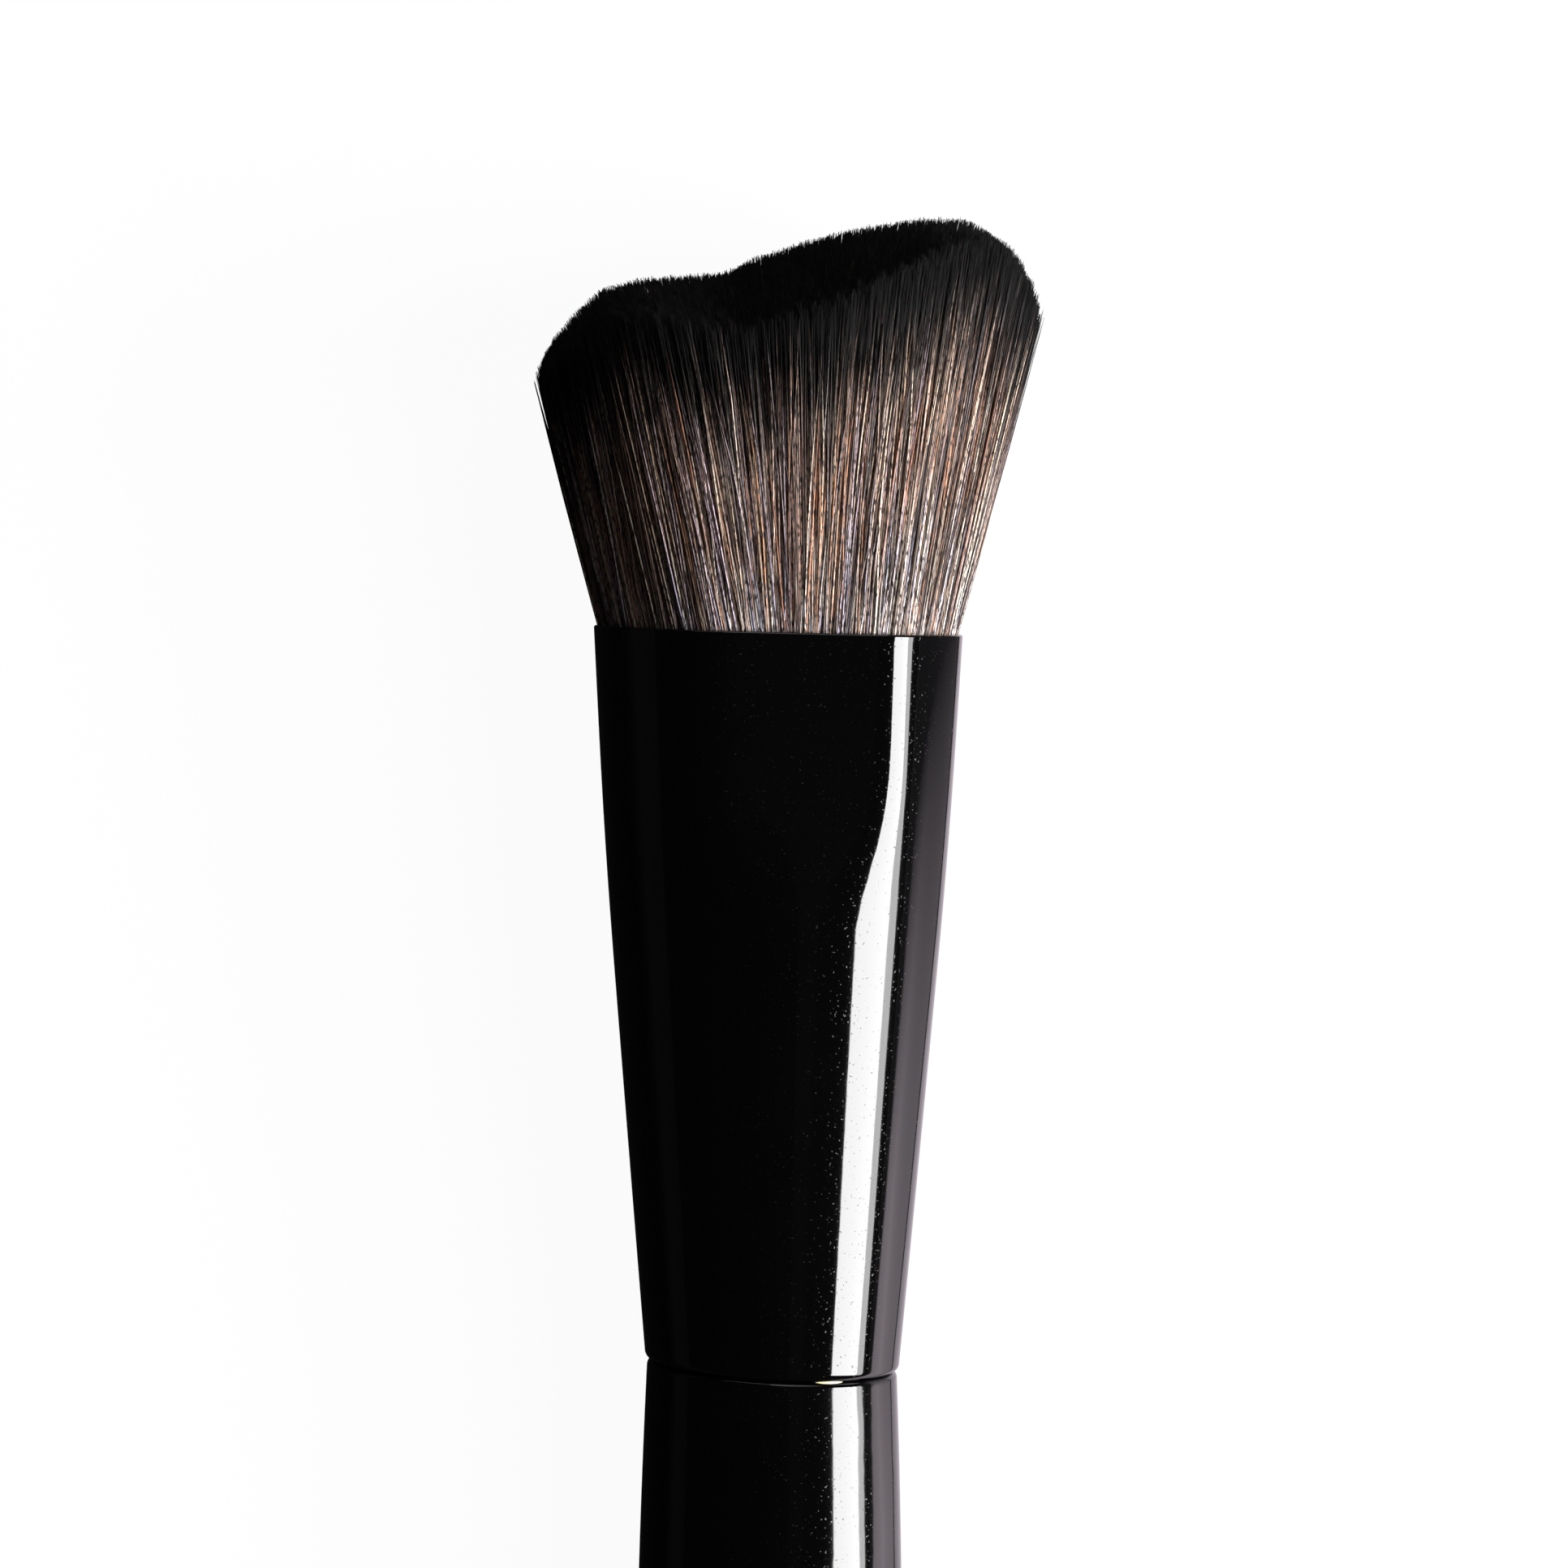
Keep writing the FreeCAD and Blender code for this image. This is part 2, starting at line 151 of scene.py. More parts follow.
def turned_rings(profile, columns):
    """Rings for a profile of (radius, height) turned round the brush's axis."""
    angle = np.linspace(0, 2 * math.pi, columns, endpoint=False)
    radius, height = np.asarray(profile, dtype=float).T
    across = radius[:, None] * np.cos(angle)
    depth = radius[:, None] * np.sin(angle)
    return np.stack((across, depth, np.broadcast_to(height[:, None], across.shape)), axis=-1)


def corner_arc(middle, radius, start, stop, steps):
    """Points of a profile round a corner, between two angles in degrees."""
    angles = np.radians(np.linspace(start, stop, steps))
    return [(middle[0] + radius * math.cos(a), middle[1] + radius * math.sin(a)) for a in angles]


print("helpers ready")

# %% [markdown]
# ## The handle
#
# The real handle is turned on a lathe, so it is one profile here too: the peg that sits in the
# ferrule, a small rounded shoulder, the swell to the belly, the long taper and the ball. A Screw
# modifier would turn it as well. Rings are used, because the joint's slope is easily laid on them.
# The photograph shows only the top 12 mm of the handle.

# %% Turn the handle
SHOULDER, CHAMFER = 0.4, 0.6


def handle_radius(height):
    """Radius of the handle below its shoulder."""
    below = -height
    up = (BELLY_DROP - below) / (BELLY_DROP - SHOULDER)
    down = (below - BELLY_DROP) / (TAIL_DROP - BELLY_DROP)
    swell = BELLY_RADIUS - (BELLY_RADIUS - JOINT_RADIUS) * up ** 2
    taper = BELLY_RADIUS - (BELLY_RADIUS - TAIL_RADIUS) * down ** 2
    return np.where(below < BELLY_DROP, swell, taper)


heights = np.concatenate((np.linspace(-0.5, -14, 30), np.linspace(-16, -TAIL_DROP, 80)))
profile = [(0.02, PEG_TOP), (PEG_RADIUS - CHAMFER, PEG_TOP), (PEG_RADIUS, PEG_TOP - CHAMFER)]
profile.append((PEG_RADIUS, 0.0))
profile += corner_arc((JOINT_RADIUS - SHOULDER, -SHOULDER), SHOULDER, start=90, stop=0, steps=8)
profile += list(zip(handle_radius(heights), heights))
profile += corner_arc((0.0, -TAIL_DROP), TAIL_RADIUS, start=-8, stop=-89.5, steps=16)
handle = skin("lacquered_handle", askew(turned_rings(profile, columns=160)))
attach(handle, "root")
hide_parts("handle")
print("handle faces:", len(handle.data.polygons))

# %% [markdown]
# ## The ferrule
#
# The ferrule is a round taper whose front and back are pressed flat below the rim. Its section is
# a circle, cut off by two straight faces, with a 4 mm rounding between them. The faces run out into
# the round on a long sweep, softened the way pressed metal is. Such a form could be bent from a
# plain tube with a lattice. A formula for its section is surer, because the faces' place and end
# decide where the long highlight runs and bends.

# %% The section of the ferrule
def taper_radius(height):
    """Radius of the ferrule's round sides, as one smooth sweep through the bend of the taper."""
    low_slope = (BEND[1] - BASE_RADIUS) / (BEND[0] - ROLL)
    high_slope = (RIM_RADIUS - BEND[1]) / (RIM - BEND[0])
    past = height - BEND[0]
    blend = np.clip(past / BEND_EASE, -1, 1)
    soft = BEND_EASE * (blend + 1) ** 2 / 4 * (high_slope - low_slope)
    return BEND[1] + low_slope * past + np.where(past > BEND_EASE, past * (high_slope - low_slope), soft)


def press_place(height):
    """Distance of the pressed faces from the axis, far out where the ferrule is still round."""
    low = RIM - PRESS_LENGTH
    face, low_face = RIM_RADIUS - PRESS_IN, RIM_RADIUS - PRESS_FOOT_IN
    straight = low_face + (face - low_face) * (height - low) / PRESS_LENGTH
    drop = np.clip(low - height, 0, PRESS_SWEEP)
    swept = low_face + PRESS_SWEEP - np.sqrt(PRESS_SWEEP ** 2 - drop ** 2)
    return np.where(height > low, straight, swept)


def ferrule_section(height, inset, columns):
    """One ring of the ferrule: circle, rounded corner and pressed face, in polar steps."""
    radius, face, ease = taper_radius(height) - inset, press_place(height) - inset, PRESS_ROUND - inset
    angle = np.linspace(0, 2 * math.pi, columns, endpoint=False)
    sine, cosine = np.abs(np.sin(angle)), np.abs(np.cos(angle))
    reach = np.full(columns, float(radius))
    if face < radius:
        up = face - ease
        out = math.sqrt((radius - ease) ** 2 - up ** 2)
        toward = cosine * out + sine * up
        rounded = toward + np.sqrt(np.maximum(toward ** 2 - out ** 2 - up ** 2 + ease ** 2, 0))
        on_face = sine * out > cosine * face
        on_corner = ~on_face & (sine * out > cosine * up)
        reach = np.where(on_corner, rounded, reach)
        reach = np.where(on_face, face / np.maximum(sine, 0.01), reach)
    return np.stack((reach * np.cos(angle), reach * np.sin(angle), np.full(columns, float(height))), axis=-1)


def eased_section(height, columns):
    """The outer section, averaged over 3 mm either way."""
    steps, weights = (-3.0, -1.5, 0.0, 1.5, 3.0), (1, 2, 3, 2, 1)
    rings = [ferrule_section(height + step, 0.0, columns) for step in steps]
    return np.average(rings, axis=0, weights=weights)


print("radius of the ferrule half way up:", float(taper_radius(RIM / 2).round(2)), "mm")

# %% [markdown]
# ## The metal's edges
#
# At the handle the edge of the metal is rolled in, and at the hair it is a thin lip. The rings go
# round both: they start inside the rolled edge, climb the outside, turn over the lip, and go down
# the inside of the wall, which is half a millimetre further in.

# %% Draw the ferrule
COLUMNS = 240
FOLD, LIP, LIP_BREAK = 0.12, 0.14, 0.1
rolled_edge = corner_arc((BASE_RADIUS - WALL - 0.1, FOLD), FOLD, start=180, stop=270, steps=4)
rolled_edge += corner_arc((BASE_RADIUS - ROLL, ROLL), ROLL, start=270, stop=357, steps=10)
rings = list(turned_rings(rolled_edge, COLUMNS))
for height in np.concatenate((np.linspace(0.6, 20, 26), np.linspace(20.4, RIM - LIP, 88))):
    rings.append(eased_section(height, COLUMNS))
for angle in np.radians((25, 50, 75, 90)):
    height = RIM - LIP + LIP * math.sin(angle)
    rings.append(ferrule_section(height, LIP - LIP * math.cos(angle), COLUMNS))
rings.append(ferrule_section(RIM, WALL - LIP_BREAK, COLUMNS))
for height in (RIM - LIP_BREAK, RIM - 6, RIM - 14, 12, 1):
    rings.append(ferrule_section(height, WALL, COLUMNS))
ferrule = skin("drawn_ferrule", askew(np.array(rings)))
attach(ferrule, "root")
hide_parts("ferrule")
print("ferrule faces:", len(ferrule.data.polygons))

# %% [markdown]
# ## The adhesive
#
# A thread of amber glue shows in the groove between the ferrule and the handle, over a short way on
# the lit side. It is thickest in its middle and runs out at both ends. A bevelled curve would do
# too, but rings follow the joint's slope by the same helper as the metal does.

# %% Lay the thread of glue in the joint
BEAD_FROM, BEAD_TO = -77, -63
BEAD = 0.17
GROOVE = 0.3
bead_angle = np.radians(np.linspace(BEAD_FROM, BEAD_TO, 40))
bead_size = BEAD * np.sin(np.linspace(0.05, math.pi - 0.05, 40)) ** 0.5
across = np.linspace(0, 2 * math.pi, 8, endpoint=False)
bead_rings = []
for angle, thick in zip(bead_angle, bead_size):
    radius = JOINT_RADIUS - GROOVE + thick * np.cos(across)
    ring = (radius * math.cos(angle), radius * math.sin(angle), thick * np.sin(across))
    bead_rings.append(np.stack(ring, axis=-1))
glue_thread = skin("glue_thread", askew(np.array(bead_rings)), crease=80)
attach(glue_thread, "root")
print("glue thread faces:", len(glue_thread.data.polygons))

# %% [markdown]
# ## The form of the head
#
# The hair fills the ferrule's mouth, spreads to an ellipse 18.5 mm above the rim and then turns in
# a little. Seen from the front, its cut edge is a low lobe on the left that climbs to a high lobe
# on the right. `crown` is the height of the cut anywhere on the head, and it falls towards the
# front and the back, less so on the high lobe. A particle system would need a mesh to grow from and
# much combing. These few formulas can be asked by every hair.

# %% Measure the head
CUT_ACROSS, CUT_HEIGHT = zip(
    (-15.2, 12.7), (-14.5, 14.4), (-13.9, 15.9), (-13.1, 17.3), (-11.0, 19.8), (-8.8, 20.5),
    (-5.5, 20.8), (-3.5, 21.0), (-1.7, 21.9), (1.7, 23.0), (4.5, 23.7), (8.8, 24.4),
    (11.7, 24.4), (13.6, 23.0), (14.8, 20.6), (15.3, 18.5),
)
LOW_FALL, HIGH_FALL = 4.0, 2.7
LOBE_FROM, LOBE_RUN = 1.0, 8.0
MOUTH_GAP, MOUTH_COLUMNS = 0.08, 720


def crown(across, depth):
    """Height of the cut above the rim."""
    level = np.interp(across, CUT_ACROSS, CUT_HEIGHT)
    fall = LOW_FALL - (LOW_FALL - HIGH_FALL) * np.clip((across - LOBE_FROM) / LOBE_RUN, 0, 1)
    return level - fall * (depth / SPREAD_DEEP) ** 2


def ferrule_mouth(angle):
    """Inside edge of the ferrule's rim at an angle round the brush."""
    ring = ferrule_section(RIM, WALL + MOUTH_GAP, MOUTH_COLUMNS)
    around = np.concatenate((np.linspace(0, 2 * math.pi, MOUTH_COLUMNS, endpoint=False), (2 * math.pi,)))
    reach = np.hypot(ring[:, 0], ring[:, 1])
    reach = np.interp(np.mod(angle, 2 * math.pi), around, np.append(reach, reach[0]))
    return np.stack((reach * np.cos(angle), reach * np.sin(angle)), axis=-1)


def head_edge(angle, height):
    """Outermost place of the hair at an angle round the head and a height above the rim."""
    mouth = ferrule_mouth(angle)
    wide = SPREAD_WIDE * np.cos(angle)
    turned_in = SPREAD_DEEP + (TIP_DEEP - SPREAD_DEEP) * (height - SPREAD) / TIP_RISE
    deep = np.where(height < SPREAD, SPREAD_DEEP, turned_in)
    spread = np.stack(np.broadcast_arrays(wide, deep * np.sin(angle)), axis=-1)
    share = np.clip(height / SPREAD, 0, 1)[..., None]
    return mouth + (spread - mouth) * share


print("head is widest at", head_edge(np.array(0.0), np.array(SPREAD)).round(2), "mm from the axis")

# %% [markdown]
# ## Single hairs
#
# A hair is a thin three-sided tube, thickest low down, with a slight bend of its own. Blender's
# hair curves would be lighter, but a mesh goes into any other program as it is. All hairs of one
# piece are worked out together. Each point of a hair keeps two values for the material: the hair's
# own colour, and the distance that is left to its tip, because the tips are dyed black. Hairs that
# would reach into the floor are pressed flat on it.

# %% The colours of the hair
rng = np.random.default_rng(7)
BROWNS = np.array((
    (0.34, 0.25, 0.21),
    (0.050, 0.032, 0.028),
    (0.46, 0.25, 0.16),
    (0.44, 0.42, 0.52),
    (0.85, 0.76, 0.68),
))
SHARES = (0.25, 0.25, 0.14, 0.18, 0.18)


def hair_colours(count):
    """A brown, grey or cream for each hair, with a little change of its own."""
    chosen = BROWNS[rng.choice(len(BROWNS), count, p=SHARES)]
    return np.clip(chosen * rng.uniform(0.65, 1.35, (count, 1)) * rng.uniform(0.93, 1.07, (count, 3)), 0, 1)


print("colours of hair:", len(BROWNS))

# %% The maker of hairs
TAPER_PLACES, TAPER_WIDTHS = (0, 0.55, 0.85, 1), (1, 1, 0.75, 0.3)
LEAN_MOST = 2.4
DYE_CHANGE = 1.3
FLOOR_GAP = 0.02


def hairs(name, roots, tips, thick, bend, steps, colours):
    """One piece with a tube for each pair of root and tip, all in upright millimetres."""
    count = len(roots)
    run = tips - roots
    length = np.linalg.norm(run, axis=1)
    along = run / length[:, None]
    side = np.cross(along, (0.0, 0.0, 1.0)) + np.array((0.01, 0.0, 0.0))
    side /= np.linalg.norm(side, axis=1)[:, None]
    other = np.cross(along, side)
    share = np.linspace(0, 1, steps + 1)
    phase = rng.uniform(0, 2 * math.pi, (count, 1))
    turns = rng.uniform(0.3, 1.1, (count, 1)) * 2 * math.pi
    sway = np.sin(phase + turns * share) - np.sin(phase) * (1 - share) - np.sin(phase + turns) * share
    lean = np.sin(phase * 3 + 1) * share * (1 - share) * LEAN_MOST
    middle = roots[:, None] + run[:, None] * share[None, :, None]
    middle = middle + side[:, None] * (bend[:, None] * sway)[..., None]
    middle = middle + other[:, None] * (bend[:, None] * lean)[..., None]
    width = thick[:, None] * np.interp(share, TAPER_PLACES, TAPER_WIDTHS)
    corners = phase + np.arange(3) * 2 * math.pi / 3
    ring = np.cos(corners)[:, None, :, None] * side[:, None, None]
    ring = ring + np.sin(corners)[:, None, :, None] * other[:, None, None]
    points = middle[:, :, None] + width[..., None, None] * ring
    index = np.arange(count * (steps + 1) * 3).reshape(count, steps + 1, 3)
    turned = np.roll(index, -1, axis=2)
    quads = np.stack((index[:, :-1], turned[:, :-1], turned[:, 1:], index[:, 1:]), axis=-1).reshape(-1, 4)
    placed = laid(points.reshape(-1, 3))
    placed[:, 2] = np.maximum(placed[:, 2], FLOOR_GAP * MM)
    piece = quad_mesh(name, placed, quads)
    own = rng.normal(0, DYE_CHANGE, (count, 1, 1))
    left = (length[:, None] * (1 - share))[..., None] + own
    left = np.broadcast_to(left, (count, steps + 1, 3)).ravel()
    piece.data.attributes.new("to_tip", "FLOAT", "POINT").data.foreach_set("value", left)
    tint = np.ones((count, (steps + 1) * 3, 4))
    tint[..., :3] = colours[:, None]
    piece.data.attributes.new("hair_colour", "FLOAT_COLOR", "POINT").data.foreach_set("color", tint.ravel())
    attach(piece, "root")
    return piece


print("hairs are", TAPER_WIDTHS[-1], "times as thick at the tip as at the root")

# %% [markdown]
# ## Hairs that follow the head
#
# Each hair of the head has an angle and a share of the way out. It leaves the ferrule there, is
# drawn to a lock of its neighbours, and stops at the cut. Where it stops and how high the cut is
# there depend on each other, so a few rounds bring the two together. The front has a shallow
# parting between the two lobes. The hairs at the narrow sides get painted shade in their colour,
# most of all at the left, which turns away from the softbox. Children of guide hairs would clump
# too, but wouldn't keep to the cut.

# %% The maker of the head's hairs
LOCKS = 9
FRONT_LEFT, FRONT_LEFT_WIDE = -0.42, 0.36
TURN_IN = np.array((0.16, 0.28))
PARTING, PARTING_WIDE, PARTING_DEEP = -3.3, 2.6, 0.35
BUMP = 0.09
ROOT_SPREAD = 0.4
THIN, STOUT = 0.034, 0.056
BEND_OFF = 0.17
# Painted shade in the colour of hairs at the narrow sides: most at the left, a little at the right
LEFT_PAINTED_SHADE, RIGHT_PAINTED_SHADE = 0.6, 0.15


def drawn_to_locks(angle):
    """The angles at which the hairs end: drawn to locks, and turned aside at the front left."""
    count = len(angle)
    lock = np.round(angle * LOCKS + rng.normal(0, 0.35, count)) / LOCKS
    fan = angle + (lock - angle) * rng.uniform(0, 0.55, count) + rng.normal(0, 0.045, count)
    front_left = np.exp(-((np.cos(angle) - FRONT_LEFT) / FRONT_LEFT_WIDE) ** 2) * (np.sin(angle) < 0)
    return fan - front_left * rng.uniform(0.08, 0.24, count)


def cut_bumps(across, depth):
    """The small bumps that a cut by hand leaves in the crown."""
    long_waves = np.sin(across * 5.1 + 2.0 * np.sin(depth * 2.3))
    return (long_waves + np.sin(across * 8.7 + depth * 3.1)) * BUMP


def painted_side_shade(angle):
    """How much painted shade darkens a hair, by its angle round the head."""
    aside = np.cos(angle)
    left = np.clip((-0.57 - aside) / 0.12, 0, 1)
    return LEFT_PAINTED_SHADE * left + RIGHT_PAINTED_SHADE * np.clip((aside - 0.4) / 0.25, 0, 1)


def head_hairs(name, angle, share, steps, start=-2.0, jitter=0.5):
    """Hairs of the head, each at an angle round it and at a share of the way out to its edge."""
    count = len(angle)
    fan = drawn_to_locks(angle)
    low = head_edge(angle, np.full(count, 0.0)) * share[:, None]
    high = head_edge(fan, np.full(count, SPREAD)) * (share + rng.normal(0, 0.012, count))[:, None]
    slope = (high - low) / SPREAD
    reach = np.full(count, SPREAD)
    for _ in range(4):
        place = low + slope * reach[:, None]
        reach = 0.4 * reach + 0.6 * crown(place[:, 0], place[:, 1])
    place = low + slope * reach[:, None]
    reach = reach + cut_bumps(place[:, 0], place[:, 1]) - np.abs(rng.normal(0, jitter, count))
    place = low + slope * reach[:, None]
    over = np.clip((reach - SPREAD) / TIP_RISE, 0, 1)[:, None]
    place = place - place * over * TURN_IN
    part = np.exp(-((place[:, 0] - PARTING) / PARTING_WIDE) ** 2) * (place[:, 1] < 0)
    place[:, 1] += part * PARTING_DEEP
    roots = np.column_stack((low + slope * start * ROOT_SPREAD, np.full(count, RIM + start)))
    tips = np.column_stack((place, RIM + reach))
    thick = rng.uniform(THIN, STOUT, count)
    bend = np.abs(rng.normal(0, BEND_OFF, count))
    # Painted shade: hairs at the narrow sides are darkened in their colour, most of all at the left
    colours = hair_colours(count) * (1.0 - painted_side_shade(angle))[:, None]
    piece = hairs(name, roots, tips, thick, bend, steps, colours)
    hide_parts("hair_head")
    return piece


print("locks round the head:", round(LOCKS * 2 * math.pi))

# %% [markdown]
# ## The dark inside of the head
#
# Between the hairs one looks into the depth of the bundle, which lies in shade and is nearly
# black. Many thousands more hairs would show that too. A closed form a little smaller than the head
# is enough for it: its nearly black colour with faint streaks is painted shade. Its root goes down
# into the ferrule.

# %% Make the inside
CORE_COLUMNS = 160
CORE_SHARE, CORE_BELOW, CORE_DOME = 0.90, 2.2, 0.8
core_angle = np.linspace(0, 2 * math.pi, CORE_COLUMNS, endpoint=False)
rings = [ferrule_section(height, WALL + 0.02, CORE_COLUMNS) for height in (ROOT, ROOT + 0.3, 30, 36, 40)]
for share in np.linspace(0, 1, 24):
    edge = head_edge(core_angle, np.full(CORE_COLUMNS, share * SPREAD)) * CORE_SHARE
    top = crown(edge[:, 0], edge[:, 1]) - CORE_BELOW
    rings.append(np.column_stack((edge, RIM + top * share)))
for shrink in np.linspace(0.94, 0.02, 30):
    edge = head_edge(core_angle, np.full(CORE_COLUMNS, SPREAD)) * CORE_SHARE * shrink
    top = crown(edge[:, 0], edge[:, 1]) - CORE_BELOW + CORE_DOME * (1 - shrink)
    rings.append(np.column_stack((edge, RIM + top)))
rings.insert(0, rings[0] * np.array((0.01, 0.01, 1.0)))
painted_shade_core = skin("painted_shade_core", np.array(rings))
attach(painted_shade_core, "root")
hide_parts("hair_head")
print("inside faces:", len(painted_shade_core.data.polygons))

# %% [markdown]
# ## The hairs of the head
#
# Three rounds of long hairs cover the sides, the outermost last. The crown gets many short ends,
# so that the cut looks dense and stubbly from above and along its outline. Long hairs everywhere
# would look the same and weigh far more, since only their ends show there.

# %% Grow the head
SIDE_ROUNDS = ((6000, 0.90, 0.965), (6200, 0.945, 0.99), (6200, 0.97, 1.0))
CROWN_ROUNDS, CROWN_HAIRS = 2, 10500
head = []
for index, (count, inner, outer) in enumerate(SIDE_ROUNDS):
    angle = rng.uniform(0, 2 * math.pi, count)
    share = rng.uniform(inner, outer, count)
    head.append(head_hairs("hair_layer_%d" % index, angle, share, steps=5))
for index in range(CROWN_ROUNDS):
    angle = rng.uniform(0, 2 * math.pi, CROWN_HAIRS)
    share = np.sqrt(rng.uniform(0, 0.97, CROWN_HAIRS))
    head.append(head_hairs("hair_crown_%d" % index, angle, share, steps=2, start=12.0, jitter=0.12))
print("hairs:", sum(len(piece.data.polygons) for piece in head), "faces in", len(head), "pieces")

# %% [markdown]
# ## Stray hairs
#
# A few hairs stand off the left edge, and there is a little fuzz at the left corner of the rim. The
# same maker gives both, with places of their own.

# %% Add the strays and the fuzz
STRAYS, STRAY_FOOT = 7, 7.0
FUZZ = 7
angle = rng.uniform(math.pi - 0.3, math.pi + 0.3, STRAYS)
stop = rng.uniform(10.5, 14.5, STRAYS)
low = head_edge(angle, np.full(STRAYS, STRAY_FOOT))
high = head_edge(angle, stop) * rng.uniform(1.004, 1.022, (STRAYS, 1))
roots = np.column_stack((low, np.full(STRAYS, RIM + STRAY_FOOT)))
tips = np.column_stack((high, RIM + stop))
thick, bend = np.full(STRAYS, 0.035), rng.uniform(0.05, 0.15, STRAYS)
strays = hairs("stray_hairs", roots, tips, thick, bend, 10, hair_colours(STRAYS))

angle = rng.uniform(math.pi - 0.12, math.pi + 0.2, FUZZ)
low = head_edge(angle, np.zeros(FUZZ))
roots = np.column_stack((low * 0.97, np.full(FUZZ, RIM - 0.3)))
tips = np.column_stack((low * rng.uniform(1.02, 1.05, (FUZZ, 1)), RIM + rng.uniform(0.5, 1.4, FUZZ)))
thick, bend = np.full(FUZZ, 0.03), rng.uniform(0.05, 0.12, FUZZ)
fuzz = hairs("rim_fuzz", roots, tips, thick, bend, 6, hair_colours(FUZZ) * 0.3)
print("stray hairs:", STRAYS, "and bits of fuzz:", FUZZ)

# %% [markdown]
# ## Shed curls
#
# Two shed bits of hair curl on the front of the head. Each is a thread along a few points, whose
# bends are softened by averaging. A curve object would bend as well, but the other pieces are
# meshes, and so is this one.

# %% Lay the curls on the hair
CURLS = (
    ((-9.34, -7.93, 54.47), (-9.51, -7.67, 54.09), (-9.59, -7.46, 53.63), (-9.51, -7.41, 53.22),
     (-9.29, -7.58, 53.13), (-9.09, -7.65, 52.77)),
    ((-8.20, -8.37, 52.89), (-8.37, -8.25, 52.89), (-8.25, -8.28, 52.69), (-8.26, -8.20, 52.37),
     (-8.46, -7.98, 52.13), (-8.50, -8.00, 52.32)),
)
CURL_OFF = (0.0, -0.12, 0.0)
CURL_RADIUS = 0.035


def thread(name, points, radius):
    """A thin round thread along a few points, with its bends softened."""
    run = np.linspace(0, len(points) - 1, 48)
    path = np.column_stack([np.interp(run, np.arange(len(points)), axis) for axis in np.array(points).T])
    for _ in range(14):
        path[1:-1] = (path[:-2] + 2 * path[1:-1] + path[2:]) / 4
    along = np.gradient(path, axis=0)
    side = np.cross(along, (0.0, 1.0, 0.0))
    side /= np.linalg.norm(side, axis=1)[:, None]
    other = np.cross(along, side)
    other /= np.linalg.norm(other, axis=1)[:, None]
    angle = np.linspace(0, 2 * math.pi, 8, endpoint=False)[None, :, None]
    ring = np.cos(angle) * side[:, None] + np.sin(angle) * other[:, None]
    return skin(name, path[:, None] + radius * ring, crease=80)


curls = []
for index, points in enumerate(CURLS):
    curl = thread("shed_curl_%d" % index, np.array(points) + CURL_OFF, CURL_RADIUS)
    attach(curl, "root")
    curls.append(curl)
print("curls:", len(curls))

# %% [markdown]
# ## Materials
#
# `Wire` wraps an output of a shader node, so that a formula can be written as plain arithmetic.
# What is the same all over a surface is set on the shader's own socket, and only what varies is
# linked.

# %% A small class for shader formulas
class Wire:
    """An output socket in a node tree, with arithmetic."""

    def __init__(self, tree, socket):
        self.tree = tree
        self.socket = socket

    def node(self, kind, values, output=0, **settings):
        """Any node: its type, its settings, and values or links for its sockets. Gives one output."""
        made = self.tree.nodes.new(kind)
        for key, value in settings.items():
            setattr(made, key, value)
        for key, value in values.items():
            if isinstance(value, Wire):
                self.tree.links.new(value.socket, made.inputs[key])
            else:
                made.inputs[key].default_value = value
        return Wire(self.tree, made.outputs[output])

    def math(self, operation, first, second):
        return self.node("ShaderNodeMath", {0: first, 1: second}, operation=operation)

    def __add__(self, other):
        return self.math("ADD", self, other)

    def __radd__(self, other):
        return self.math("ADD", other, self)

    def __sub__(self, other):
        return self.math("SUBTRACT", self, other)

    def __rsub__(self, other):
        return self.math("SUBTRACT", other, self)

    def __mul__(self, other):
        return self.math("MULTIPLY", self, other)

    def __rmul__(self, other):
        return self.math("MULTIPLY", other, self)

    def clamp(self, low=0.0, high=1.0):
        return self.node("ShaderNodeClamp", {"Value": self, "Min": low, "Max": high})

    def smooth(self, low, high):
        """0 below low and 1 above high, with a soft change between."""
        return self.node("ShaderNodeMapRange", {"Value": self, "From Min": low, "From Max": high},
                         interpolation_type="SMOOTHSTEP")

    def between(self, first, second, blend="MIX"):
        """The first colour, mixed with the second or tinted by it by this share."""
        return self.node("ShaderNodeMix", {"Factor": self, 6: first, 7: second}, output=2,
                         data_type="RGBA", blend_type=blend)

    def stretched(self, factors):
        """This place, multiplied by a factor for each axis."""
        return self.node("ShaderNodeVectorMath", {0: self, 1: factors}, operation="MULTIPLY")

    def noise(self, scale, detail):
        """Noise at this place."""
        return self.node("ShaderNodeTexNoise", {"Vector": self, "Scale": scale, "Detail": detail})


def material(name, **constants):
    """A new material with one shader. Gives the material, its shader and a start for formulas."""
    made = bpy.data.materials.new(name)
    made.use_nodes = True
    shader = made.node_tree.nodes["Principled BSDF"]
    for key, value in constants.items():
        shader.inputs[key.replace("_", " ")].default_value = value
    place = made.node_tree.nodes.new("ShaderNodeTexCoord")
    return made, shader, Wire(made.node_tree, place.outputs["Object"])


def link(shader, **wires):
    """Formulas linked to the sockets of a shader."""
    for key, wire in wires.items():
        wire.tree.links.new(wire.socket, shader.inputs[key.replace("_", " ")])


def wear(piece, made):
    """A piece with this material alone."""
    piece.data.materials.clear()
    piece.data.materials.append(made)


print("class ready")

# %% [markdown]
# ## Lacquer and gloss
#
# Both are deep black and sharp in their reflections. The handle's lacquer was sprayed, so its
# surface has a faint orange peel, and both carry a few specks of dust. A clear coat over black
# paint would be the maker's way, but one glossy layer over black shows the same.

# %% Black gloss for the ferrule and the handle
DEEP_BLACK = (0.0005, 0.0005, 0.0006, 1)
DUSTY_BLACK = (0.004, 0.004, 0.004, 1)


